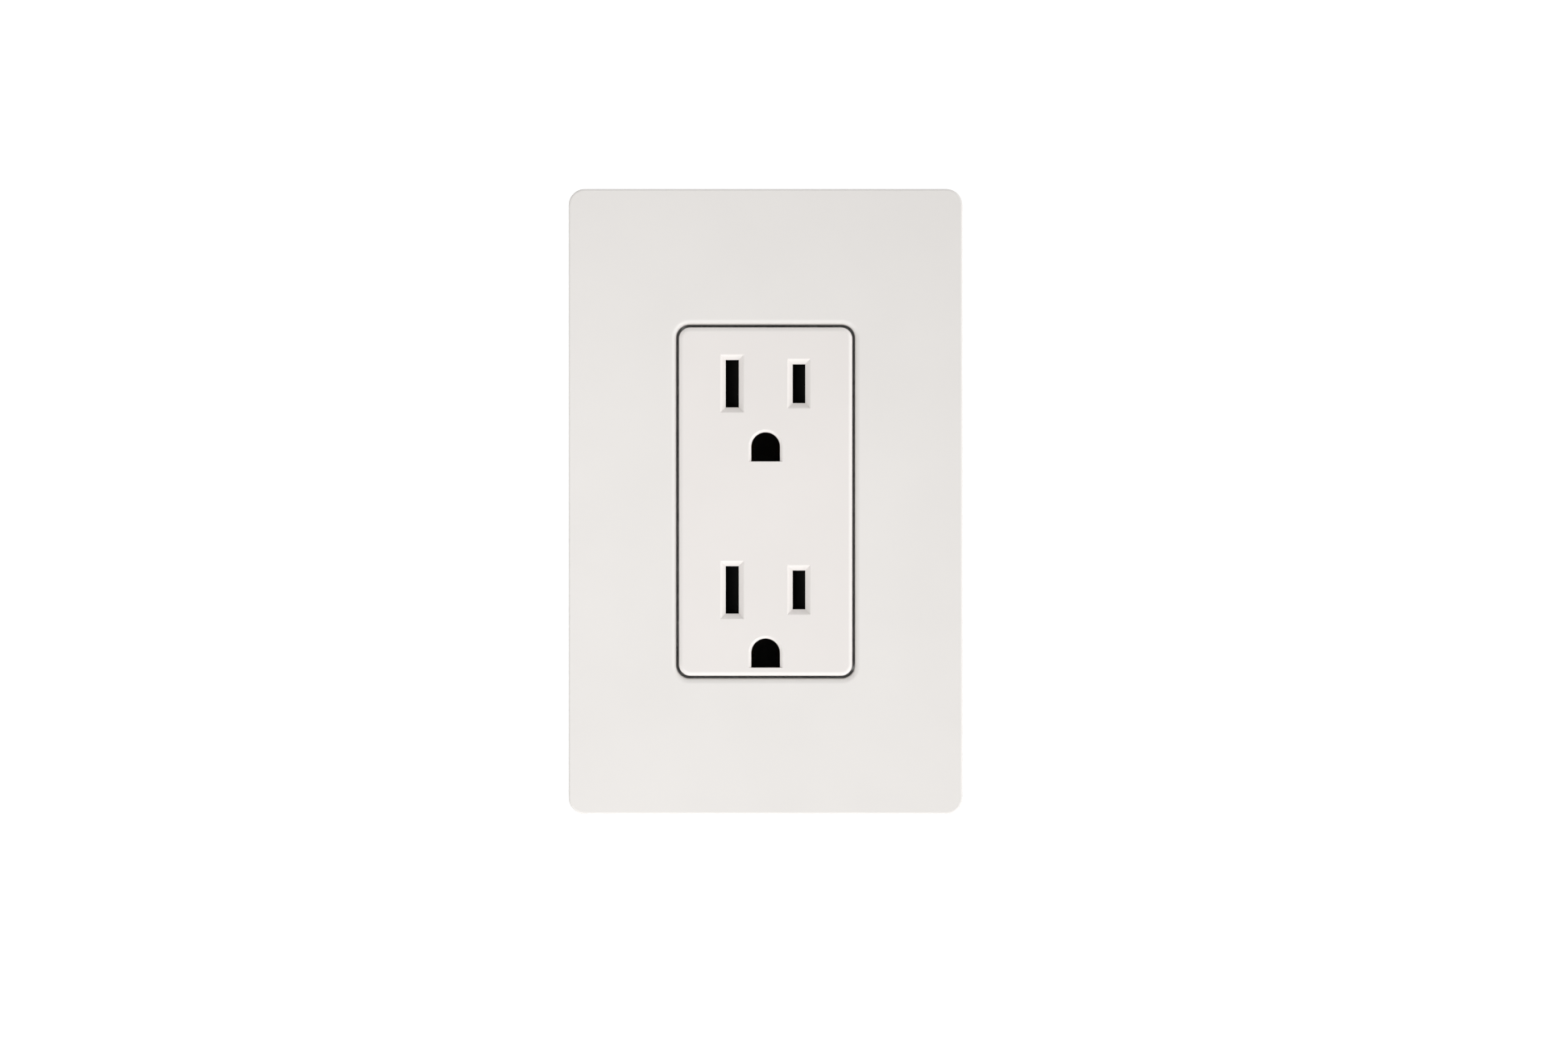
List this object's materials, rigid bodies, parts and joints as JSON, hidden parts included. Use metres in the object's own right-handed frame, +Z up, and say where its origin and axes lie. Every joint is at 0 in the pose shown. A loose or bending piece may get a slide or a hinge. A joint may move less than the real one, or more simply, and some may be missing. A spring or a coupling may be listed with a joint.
{
  "type": "duplex wall outlet",
  "caption": "Rectangular duplex wall outlet, two grounded 15 A sockets in a flat face, with a clip-on cover plate hiding its screws.",
  "frame": {"origin": "on the wall's surface, midway between the two mounting screws", "axes": "+X to the right and +Z up as seen from the room, +Y into the wall"},
  "size_m": [0.075, 0.0319, 0.119],
  "materials": {
    "cover_plastic": "smooth moulded, satin sheen",
    "adapter_plastic": "moulded, satin",
    "face_plastic": "smooth moulded, satin sheen",
    "base_plastic": "moulded thermoset, fine grain",
    "shutter_plastic": "moulded",
    "carrier_plastic": "moulded",
    "galvanised_steel": "zinc plated sheet, light spangle",
    "screw_steel": "zinc plated",
    "painted_screw": "pale enamel on the head",
    "spring_steel": "bright drawn wire",
    "brass": "rolled strip",
    "brass_screw": "plated screw",
    "nickel_plate": "dull nickel plate on brass",
    "green_screw": "green dyed plating",
    "fibre": "pressed fibre board"
  },
  "bodies": {
    "root": {"strap": "galvanised_steel", "strap_rivets": "brass", "face": "face_plastic", "base": "base_plastic", "hot_contact": "brass", "neutral_contact": "nickel_plate", "ground_contact": "brass", "assembly_screws": "screw_steel", "upper_shutter_carrier": "carrier_plastic", "lower_shutter_carrier": "carrier_plastic", "upper_shutter_spring": "spring_steel", "lower_shutter_spring": "spring_steel"},
    "adapter": {"adapter_plate": "adapter_plastic"},
    "cover": {"cover_plate": "cover_plastic"},
    "adapter_screw_top": {"adapter_screw_top": "painted_screw"},
    "adapter_screw_bottom": {"adapter_screw_bottom": "painted_screw"},
    "upper_shutter": {"upper_shutter": "shutter_plastic"},
    "lower_shutter": {"lower_shutter": "shutter_plastic"},
    "ground_clamp": {"ground_clamp": "galvanised_steel"},
    "ground_screw": {"ground_screw": "green_screw"},
    "retainer_top": {"retainer_washer_top": "fibre"},
    "mounting_screw_top": {"mounting_screw_top": "screw_steel"},
    "retainer_bottom": {"retainer_washer_bottom": "fibre"},
    "mounting_screw_bottom": {"mounting_screw_bottom": "screw_steel"},
    "hot_clamp_upper": {"hot_clamp_upper": "brass"},
    "hot_screw_upper": {"hot_screw_upper": "brass_screw"},
    "hot_clamp_lower": {"hot_clamp_lower": "brass"},
    "hot_screw_lower": {"hot_screw_lower": "brass_screw"},
    "neutral_clamp_upper": {"neutral_clamp_upper": "nickel_plate"},
    "neutral_screw_upper": {"neutral_screw_upper": "screw_steel"},
    "neutral_clamp_lower": {"neutral_clamp_lower": "nickel_plate"},
    "neutral_screw_lower": {"neutral_screw_lower": "screw_steel"}
  },
  "joints": [
    {"name": "adapter_slide", "type": "slide", "parent": "root", "child": "adapter", "axis": [0, -1, 0], "range_m": [0, 0.0015]},
    {"name": "adapter_screw_top_turn", "type": "hinge", "parent": "adapter", "child": "adapter_screw_top", "pos_m": [0, -0.0031, 0.0484], "axis": [0, -1, 0], "range_deg": [0, 680.4]},
    {"name": "adapter_screw_bottom_turn", "type": "hinge", "parent": "adapter", "child": "adapter_screw_bottom", "pos_m": [0, -0.0031, -0.0484], "axis": [0, -1, 0], "range_deg": [0, 680.4]},
    {"name": "cover_pull", "type": "slide", "parent": "adapter", "child": "cover", "axis": [0, -1, 0], "range_m": [0, 0.014]},
    {"name": "mounting_screw_top_slide", "type": "slide", "parent": "root", "child": "retainer_top", "axis": [0, -1, 0], "range_m": [0, 0.0018]},
    {"name": "mounting_screw_top_turn", "type": "hinge", "parent": "retainer_top", "child": "mounting_screw_top", "pos_m": [0, -0.0013, 0.04167], "axis": [0, -1, 0], "range_deg": [0, 816.5]},
    {"name": "mounting_screw_bottom_slide", "type": "slide", "parent": "root", "child": "retainer_bottom", "axis": [0, -1, 0], "range_m": [0, 0.0018]},
    {"name": "mounting_screw_bottom_turn", "type": "hinge", "parent": "retainer_bottom", "child": "mounting_screw_bottom", "pos_m": [0, -0.0013, -0.04167], "axis": [0, -1, 0], "range_deg": [0, 816.5]},
    {"name": "hot_screw_upper_slide", "type": "slide", "parent": "root", "child": "hot_clamp_upper", "axis": [-1, 0, 0], "range_m": [0, 0.0026]},
    {"name": "hot_screw_upper_turn", "type": "hinge", "parent": "hot_clamp_upper", "child": "hot_screw_upper", "pos_m": [0.0202, 0.012, 0.0135], "axis": [-1, 0, 0], "range_deg": [0, 1179.3]},
    {"name": "hot_screw_lower_slide", "type": "slide", "parent": "root", "child": "hot_clamp_lower", "axis": [-1, 0, 0], "range_m": [0, 0.0026]},
    {"name": "hot_screw_lower_turn", "type": "hinge", "parent": "hot_clamp_lower", "child": "hot_screw_lower", "pos_m": [0.0202, 0.012, -0.0135], "axis": [-1, 0, 0], "range_deg": [0, 1179.3]},
    {"name": "neutral_screw_upper_slide", "type": "slide", "parent": "root", "child": "neutral_clamp_upper", "axis": [1, 0, 0], "range_m": [0, 0.0026]},
    {"name": "neutral_screw_upper_turn", "type": "hinge", "parent": "neutral_clamp_upper", "child": "neutral_screw_upper", "pos_m": [-0.0202, 0.012, 0.0135], "axis": [1, 0, 0], "range_deg": [0, 1179.3]},
    {"name": "neutral_screw_lower_slide", "type": "slide", "parent": "root", "child": "neutral_clamp_lower", "axis": [1, 0, 0], "range_m": [0, 0.0026]},
    {"name": "neutral_screw_lower_turn", "type": "hinge", "parent": "neutral_clamp_lower", "child": "neutral_screw_lower", "pos_m": [-0.0202, 0.012, -0.0135], "axis": [1, 0, 0], "range_deg": [0, 1179.3]},
    {"name": "ground_screw_slide", "type": "slide", "parent": "root", "child": "ground_clamp", "axis": [1, 0, 0], "range_m": [0, 0.0026]},
    {"name": "ground_screw_turn", "type": "hinge", "parent": "ground_clamp", "child": "ground_screw", "pos_m": [-0.017, 0.008, -0.0419], "axis": [1, 0, 0], "range_deg": [0, 1179.3]},
    {"name": "upper_shutter_slide", "type": "slide", "parent": "root", "child": "upper_shutter", "axis": [1, 0, 0], "range_m": [0, 0.003], "stiffness_N_per_m": 150, "deforming": ["upper_shutter_spring"]},
    {"name": "lower_shutter_slide", "type": "slide", "parent": "root", "child": "lower_shutter", "axis": [1, 0, 0], "range_m": [0, 0.003], "stiffness_N_per_m": 150, "deforming": ["lower_shutter_spring"]}
  ],
  "couplings": [
    {"joint": "adapter_screw_top_turn", "follows": "adapter_slide", "rad_per_m": 7915.8},
    {"joint": "adapter_screw_bottom_turn", "follows": "adapter_slide", "rad_per_m": 7915.8},
    {"joint": "mounting_screw_top_turn", "follows": "mounting_screw_top_slide", "rad_per_m": 7915.8},
    {"joint": "mounting_screw_bottom_turn", "follows": "mounting_screw_bottom_slide", "rad_per_m": 7915.8},
    {"joint": "hot_screw_upper_turn", "follows": "hot_screw_upper_slide", "rad_per_m": 7915.8},
    {"joint": "hot_screw_lower_turn", "follows": "hot_screw_lower_slide", "rad_per_m": 7915.8},
    {"joint": "neutral_screw_upper_turn", "follows": "neutral_screw_upper_slide", "rad_per_m": 7915.8},
    {"joint": "neutral_screw_lower_turn", "follows": "neutral_screw_lower_slide", "rad_per_m": 7915.8},
    {"joint": "ground_screw_turn", "follows": "ground_screw_slide", "rad_per_m": 7915.8}
  ]
}
